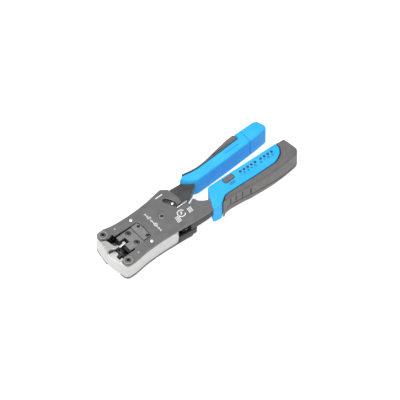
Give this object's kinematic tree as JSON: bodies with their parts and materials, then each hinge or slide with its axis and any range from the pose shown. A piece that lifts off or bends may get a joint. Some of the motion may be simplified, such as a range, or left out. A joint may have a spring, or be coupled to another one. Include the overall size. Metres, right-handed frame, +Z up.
{
  "type": "crimping tool",
  "caption": "Ratchet crimping tool for network plugs: steel head with plug nest, sliding ram and blade, two handles with a cable tester and its pull-off far unit.",
  "frame": {"origin": "on the handle pivot's axis, at the underside of the head", "axes": "+X from the nose towards the handle ends, +Y towards the moving handle, +Z up out of the head's marked face"},
  "size_m": [0.2196, 0.0595, 0.0255],
  "materials": {
    "plate": "fine matt grey powder coat on steel",
    "nose_steel": "satin light steel",
    "bright_steel": "ground and polished steel",
    "dark_steel": "blackened steel",
    "die_steel": "grey hardened steel",
    "black_plastic": "matt black moulding",
    "blue_plastic": "satin blue moulding",
    "grey_rubber": "soft grey overmould",
    "lamp": "clear dark blue lens",
    "board": "green circuit board",
    "battery_can": "wrapped battery can"
  },
  "bodies": {
    "frame": {"top_plate": "plate", "bottom_plate": "plate", "nose_frame": "nose_steel", "nest_die": "black_plastic", "strip_blade": "bright_steel", "nose_washer_upper": "plate", "nose_washer_lower": "plate", "nose_screw_upper": "dark_steel", "nose_screw_lower": "dark_steel", "dowel_pin_upper": "bright_steel", "dowel_pin_lower": "bright_steel", "guide_rail_upper": "dark_steel", "guide_rail_lower": "dark_steel", "keeper_plate": "die_steel", "keeper_rivet_upper": "dark_steel", "keeper_rivet_lower": "dark_steel", "pivot_screw": "dark_steel", "pawl_pin": "bright_steel", "leaf_spring": "bright_steel", "side_guard": "black_plastic", "upper_guard": "black_plastic", "lower_arm": "plate", "lower_shell": "blue_plastic", "lower_grip": "grey_rubber", "main_jack": "black_plastic", "light_bar": "lamp", "tester_board": "board", "battery": "battery_can", "battery_cover": "grey_rubber", "lower_screw_front": "dark_steel", "lower_screw_rear": "dark_steel"},
    "moving_handle": {"lever_arm": "plate", "ratchet_sector": "die_steel", "crank_pin": "bright_steel", "guide_pin": "bright_steel", "upper_shell": "blue_plastic", "upper_insert": "grey_rubber", "upper_screw_front": "dark_steel", "upper_screw_rear": "dark_steel"},
    "link": {"drive_link": "die_steel"},
    "ram": {"ram_carriage": "die_steel", "contact_punch": "bright_steel", "ram_pin": "bright_steel", "die_screw_upper": "dark_steel", "die_screw_lower": "dark_steel"},
    "pawl": {"ratchet_pawl": "die_steel"},
    "remote": {"remote_shell": "blue_plastic", "remote_jack": "black_plastic"},
    "button": {"test_button": "grey_rubber"}
  },
  "joints": [
    {"name": "handle_hinge", "type": "hinge", "parent": "frame", "child": "moving_handle", "pos_m": [0, 0, 0.011], "axis": [0, 0, 1], "range_deg": [-4, 22]},
    {"name": "link_hinge", "type": "hinge", "parent": "moving_handle", "child": "link", "pos_m": [0, -0.009, 0.0095], "axis": [0, 0, 1], "range_deg": [-21, 4.5]},
    {"name": "ram_slide", "type": "slide", "parent": "frame", "child": "ram", "axis": [1, 0, 0], "range_m": [-0.0008, 0.0037]},
    {"name": "pawl_hinge", "type": "hinge", "parent": "frame", "child": "pawl", "pos_m": [0.015, -0.0186, 0.0052], "axis": [0, 0, 1], "range_deg": [-18, 18], "stiffness_Nm_per_rad": 0.004},
    {"name": "remote_slide", "type": "slide", "parent": "moving_handle", "child": "remote", "axis": [1, 0, 0], "range_m": [0, 0.03]},
    {"name": "button_press", "type": "slide", "parent": "frame", "child": "button", "axis": [0, 0, -1], "range_m": [0, 0.0006], "stiffness_N_per_m": 900, "springref_m": -0.0003}
  ],
  "couplings": [
    {"joint": "link_hinge", "follows": "handle_hinge", "ratio": -0.92},
    {"joint": "ram_slide", "follows": "handle_hinge", "m_per_rad": 0.009}
  ]
}
